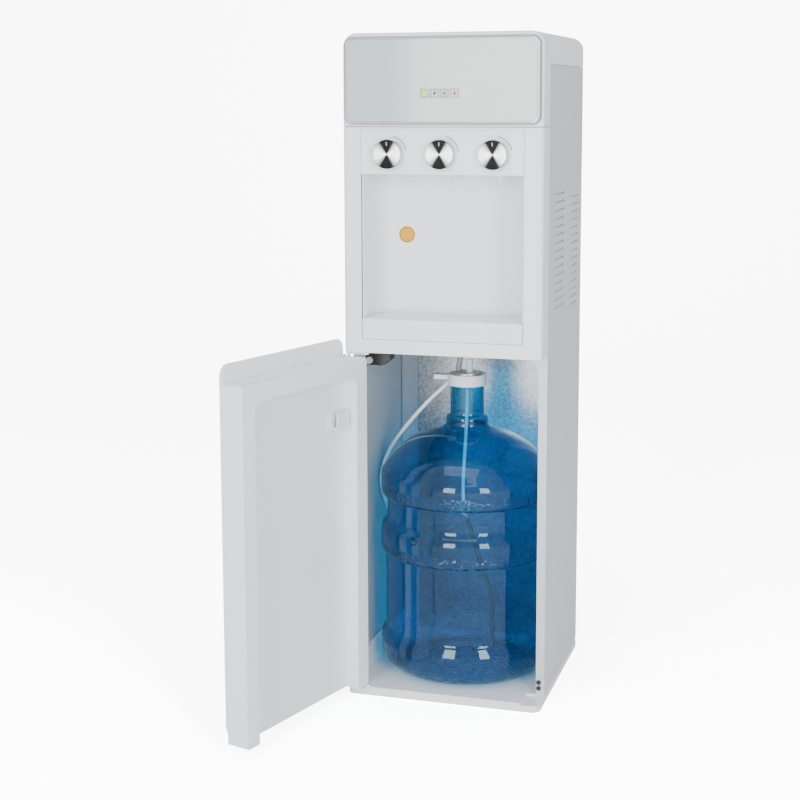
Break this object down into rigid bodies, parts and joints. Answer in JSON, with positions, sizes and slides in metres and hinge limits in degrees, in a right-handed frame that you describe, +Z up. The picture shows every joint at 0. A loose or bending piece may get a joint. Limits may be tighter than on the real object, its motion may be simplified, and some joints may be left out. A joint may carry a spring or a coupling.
{
  "type": "bottom-loading water dispenser",
  "caption": "Tall narrow floor-standing water dispenser with tap knobs over a drip tray niche, a swung-open lower door and a large refill bottle inside.",
  "frame": {"origin": "floor level under the middle of the base", "axes": "+Z up, -Y towards the front with the taps and door, +X to the right seen from the front"},
  "size_m": [0.3826, 0.5931, 0.995],
  "materials": {
    "casing": "smooth semi-gloss white moulding",
    "liner": "satin white moulding",
    "steel": "silver-grey painted sheet",
    "galvanised": "spangled galvanised sheet",
    "glass": "glossy pale grey-green display cover",
    "chrome": "satin turned chrome",
    "zinc": "zinc plated",
    "aluminium": "plain extruded",
    "black": "satin black moulding",
    "green": "lit yellow-green lens",
    "blue": "blue lens",
    "red": "red lens",
    "bottle": "transparent blue polycarbonate",
    "clear": "translucent clear tube",
    "rubber": "matt",
    "foam": "moulded insulation",
    "board": "circuit board"
  },
  "bodies": {
    "cabinet": {"base_tray": "casing", "hood": "casing", "front_bezel": "casing", "tap_panel": "casing", "nozzle_hot": "casing", "nozzle_warm": "casing", "nozzle_cold": "casing", "probe_cap": "casing", "probe_connector": "casing", "return_hose": "casing", "drain_plug": "casing", "niche_liner": "liner", "tap_valve_hot": "liner", "tap_valve_warm": "liner", "tap_valve_cold": "liner", "side_panel_left": "steel", "side_panel_right": "steel", "corner_post_left": "steel", "corner_post_right": "steel", "hot_tank": "steel", "rear_panel": "galvanised", "compartment_back": "galvanised", "compartment_ceiling": "galvanised", "display_glass": "glass", "display_frame": "chrome", "top_hinge_plate": "zinc", "bottom_hinge_plate": "zinc", "probe_disc": "zinc", "heat_sink": "aluminium", "flange_screw_upper": "black", "flange_screw_lower": "black", "door_switch": "black", "fan_frame": "black", "water_pump": "black", "cord_gland": "black", "rocker_frame": "black", "indicator_power": "green", "indicator_fill": "blue", "indicator_cold": "blue", "indicator_hot": "red", "bottle": "bottle", "probe_tube": "clear", "suction_hose": "clear", "hose_grommet": "rubber", "cold_tank": "foam", "peltier_module": "foam", "control_board": "board"},
    "door": {"door_outer_panel": "casing", "door_liner": "liner", "probe_hanger": "casing"},
    "tray": {"drip_tray": "liner"},
    "grille": {"drip_grille": "liner"},
    "hot_knob": {"knob_hot": "chrome"},
    "warm_knob": {"knob_warm": "chrome"},
    "cold_knob": {"knob_cold": "chrome"},
    "plunger": {"switch_plunger": "steel"},
    "fan": {"fan_rotor": "black"},
    "hot_rocker": {"rocker_hot": "black"},
    "cold_rocker": {"rocker_cold": "black"}
  },
  "joints": [
    {"name": "door_hinge", "type": "hinge", "parent": "cabinet", "child": "door", "pos_m": [-0.1435, -0.1455, 0.27], "axis": [0, 0, -1], "range_deg": [-106, 69]},
    {"name": "hot_knob_turn", "type": "hinge", "parent": "cabinet", "child": "hot_knob", "pos_m": [-0.078, -0.1515, 0.822], "axis": [0, 1, 0], "range_deg": [0, 90]},
    {"name": "warm_knob_turn", "type": "hinge", "parent": "cabinet", "child": "warm_knob", "pos_m": [0, -0.1515, 0.822], "axis": [0, 1, 0], "range_deg": [0, 90]},
    {"name": "cold_knob_turn", "type": "hinge", "parent": "cabinet", "child": "cold_knob", "pos_m": [0.078, -0.1515, 0.822], "axis": [0, 1, 0], "range_deg": [0, 90]},
    {"name": "drip_tray_slide", "type": "slide", "parent": "cabinet", "child": "tray", "axis": [0, -1, 0], "range_m": [0, 0.07]},
    {"name": "drip_grille_lift", "type": "slide", "parent": "tray", "child": "grille", "axis": [0, 0, 1], "range_m": [0, 0.02]},
    {"name": "switch_plunger_press", "type": "slide", "parent": "cabinet", "child": "plunger", "axis": [0, 1, 0], "range_m": [0, 0.003], "stiffness_N_per_m": 200},
    {"name": "fan_spin", "type": "hinge", "parent": "cabinet", "child": "fan", "pos_m": [-0.072, 0.1325, 0.71], "axis": [0, 1, 0], "continuous": true},
    {"name": "hot_rocker_tilt", "type": "hinge", "parent": "cabinet", "child": "hot_rocker", "pos_m": [0.058, 0.146, 0.88], "axis": [1, 0, 0], "range_deg": [-16, 0]},
    {"name": "cold_rocker_tilt", "type": "hinge", "parent": "cabinet", "child": "cold_rocker", "pos_m": [0.082, 0.146, 0.88], "axis": [1, 0, 0], "range_deg": [-16, 0]}
  ]
}
